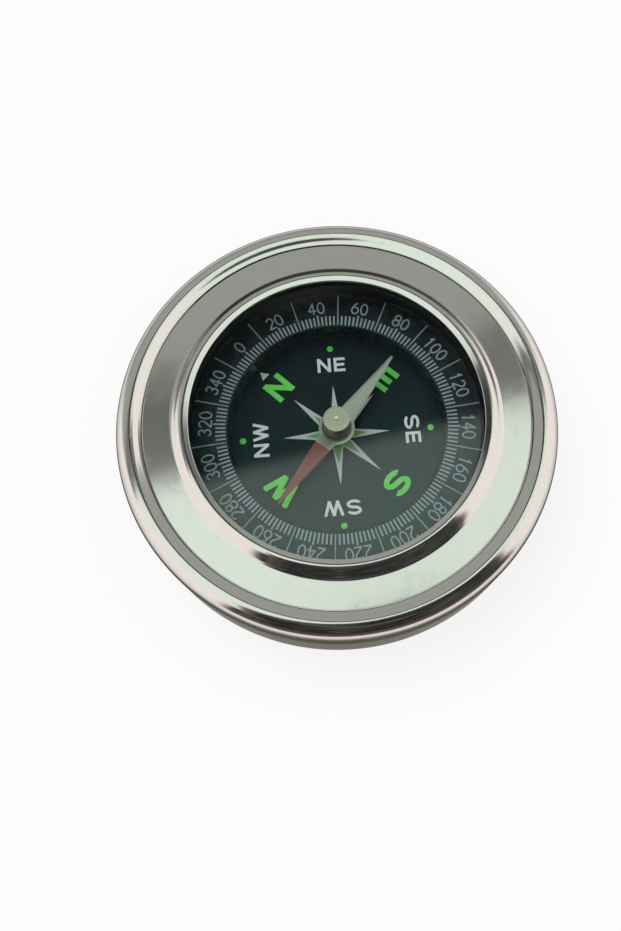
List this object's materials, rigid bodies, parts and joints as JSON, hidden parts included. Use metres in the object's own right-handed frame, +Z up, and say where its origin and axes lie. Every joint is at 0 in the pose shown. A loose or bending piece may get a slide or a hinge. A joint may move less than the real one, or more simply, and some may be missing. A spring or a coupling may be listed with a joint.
{
  "type": "pocket compass",
  "caption": "Flat round pocket compass: rolled and polished metal cover, clear window, raised degree scale, black rose dial, and a tapered needle that turns and tips on a point pivot.",
  "frame": {"origin": "centre of the flat underside of the case", "axes": "+Z up out of the window, +Y towards the dial's north, +X towards its east"},
  "size_m": [0.06, 0.06, 0.013],
  "materials": {
    "drawn_metal": "plated, with fine upright drawing lines",
    "polished_metal": "mirror polished",
    "window": "clear and polished",
    "soft_ring": "matt",
    "black_moulding": "fine matt",
    "carrier_moulding": "matt",
    "dial_black": "matt black",
    "scale_black": "satin",
    "scale_ink": "printed ink",
    "white_ink": "printed ink",
    "green_ink": "printed ink",
    "luminous_green": "thick luminous paint",
    "turned_brass": "turned",
    "hard_steel": "ground to a point",
    "jewel": "polished",
    "hub_metal": "pale plating with turning rings",
    "needle_steel": "satin",
    "red_paint": "thin satin paint"
  },
  "bodies": {
    "case": {"base_cup": "drawn_metal", "bezel": "polished_metal", "lens": "window", "lens_gasket": "soft_ring", "spacer_ring": "black_moulding", "dial_tray": "carrier_moulding", "dial_plate": "dial_black", "scale_ring": "scale_black", "scale_ticks": "scale_ink", "scale_lines": "scale_ink", "scale_numerals": "scale_ink", "rose_star": "white_ink", "rose_inlay": "green_ink", "cardinal_letters": "luminous_green", "intercardinal_letters": "white_ink", "luminous_dots": "luminous_green", "north_pointer": "white_ink", "pivot_post": "turned_brass", "pivot_pin": "hard_steel"},
    "bearing": {"bearing_cup": "jewel"},
    "needle": {"needle_hub": "hub_metal", "needle_blade": "needle_steel", "needle_red_coat": "red_paint"}
  },
  "joints": [
    {"name": "needle_spin", "type": "hinge", "parent": "case", "child": "bearing", "pos_m": [0, 0, 0.00865], "axis": [0, 0, 1], "continuous": true},
    {"name": "needle_dip", "type": "hinge", "parent": "bearing", "child": "needle", "pos_m": [0, 0, 0.00865], "axis": [-0.0785, 0.9969, 0], "range_deg": [-8, 8]}
  ]
}
